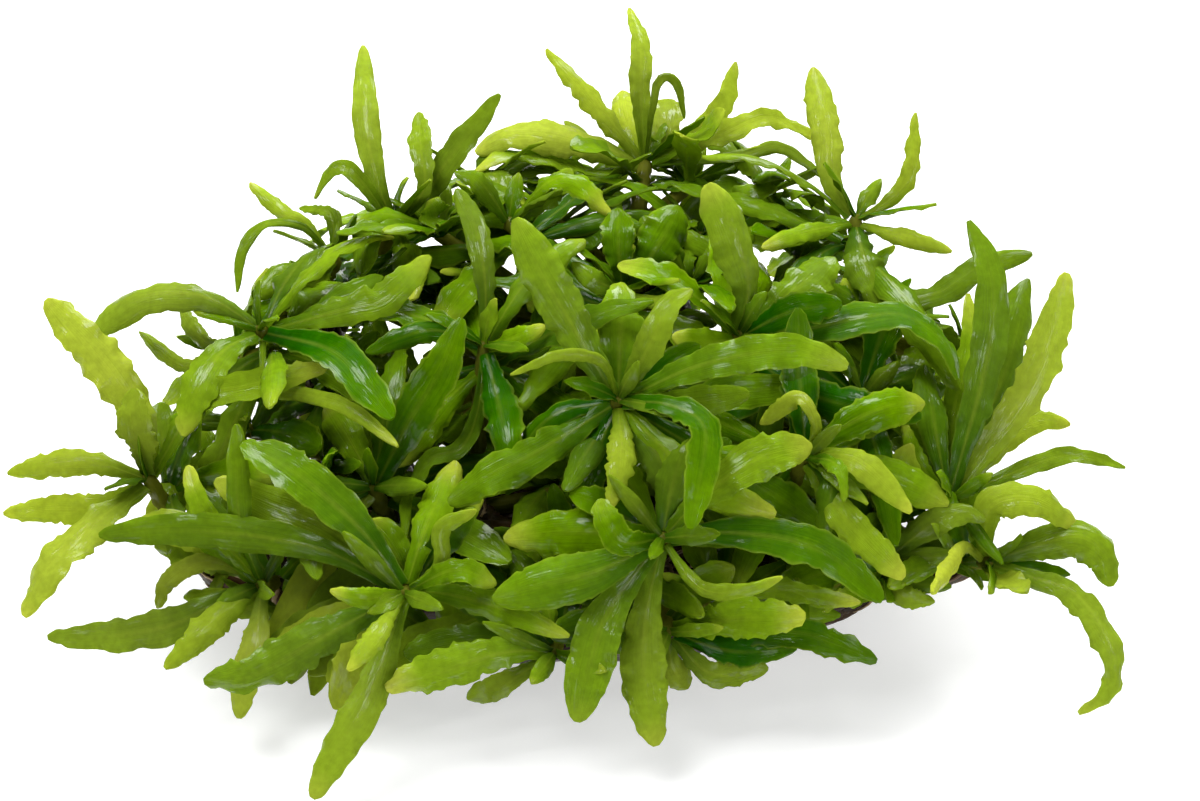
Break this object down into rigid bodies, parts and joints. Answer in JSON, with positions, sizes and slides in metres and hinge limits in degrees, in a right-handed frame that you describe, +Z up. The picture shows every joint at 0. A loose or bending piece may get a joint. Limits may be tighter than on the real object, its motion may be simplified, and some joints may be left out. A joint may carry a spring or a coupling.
{
  "type": "aquarium plant on driftwood",
  "caption": "Clump of downoi, an aquarium plant with rosettes of wet strap-shaped leaves, growing all over a small branching piece of dark driftwood.",
  "frame": {"origin": "on the driftwood trunk's flat underside, at the middle of the trunk", "axes": "+Z up from the surface it rests on, +X along the trunk to the viewer's right, -Y towards the viewer of the picture"},
  "size_m": [0.1858, 0.1495, 0.0831],
  "materials": {
    "wet_leaf": "wet, glossy, slightly see-through living leaf",
    "rosette_leaf": "wet, glossy, slightly see-through living leaf and stem",
    "wet_driftwood": "wet, rough, dark driftwood"
  },
  "bodies": {
    "root": {"driftwood_back_stump": "wet_driftwood", "driftwood_left_back_fork": "wet_driftwood", "driftwood_left_fork": "wet_driftwood", "driftwood_right_back_fork": "wet_driftwood", "driftwood_right_fork": "wet_driftwood", "driftwood_trunk": "wet_driftwood", "leaf_front_down": "wet_leaf", "leaf_front_down_left": "wet_leaf", "leaf_front_left_broad": "wet_leaf", "leaf_front_left_dark": "wet_leaf", "leaf_front_left_long": "wet_leaf", "leaf_front_left_low": "wet_leaf", "leaf_front_right_blunt": "wet_leaf", "leaf_inner_left_down": "wet_leaf", "leaf_inner_right_arched": "wet_leaf", "leaf_inner_right_up": "wet_leaf", "leaf_left_arched": "wet_leaf", "leaf_left_end_lower": "wet_leaf", "leaf_left_end_upper": "wet_leaf", "leaf_left_glossy": "wet_leaf", "leaf_low_front_left": "wet_leaf", "leaf_lower_left_down": "wet_leaf", "leaf_lower_left_long": "wet_leaf", "leaf_lower_right_drooping": "wet_leaf", "leaf_middle_drooping": "wet_leaf", "leaf_middle_right": "wet_leaf", "leaf_middle_up_left": "wet_leaf", "leaf_right_end_outer": "wet_leaf", "leaf_right_end_tall": "wet_leaf", "leaf_top_left_broad": "wet_leaf", "leaf_top_spike": "wet_leaf", "leaf_upper_left_spike": "wet_leaf", "leaf_upper_right_spike": "wet_leaf", "rosette_back": "rosette_leaf", "rosette_back_left": "rosette_leaf", "rosette_back_low": "rosette_leaf", "rosette_back_right": "rosette_leaf", "rosette_centre_left": "rosette_leaf", "rosette_far_left": "rosette_leaf", "rosette_front": "rosette_leaf", "rosette_front_left": "rosette_leaf", "rosette_inner_left": "rosette_leaf", "rosette_inner_right": "rosette_leaf", "rosette_left": "rosette_leaf", "rosette_left_back_side": "rosette_leaf", "rosette_left_end": "rosette_leaf", "rosette_low_front": "rosette_leaf", "rosette_low_right": "rosette_leaf", "rosette_lower_left": "rosette_leaf", "rosette_lower_right": "rosette_leaf", "rosette_middle": "rosette_leaf", "rosette_right": "rosette_leaf", "rosette_right_back_side": "rosette_leaf", "rosette_right_end": "rosette_leaf", "rosette_right_side": "rosette_leaf", "rosette_top": "rosette_leaf", "rosette_upper_inner": "rosette_leaf", "rosette_upper_left": "rosette_leaf", "rosette_upper_middle": "rosette_leaf", "rosette_upper_right": "rosette_leaf"}
  },
  "joints": []
}
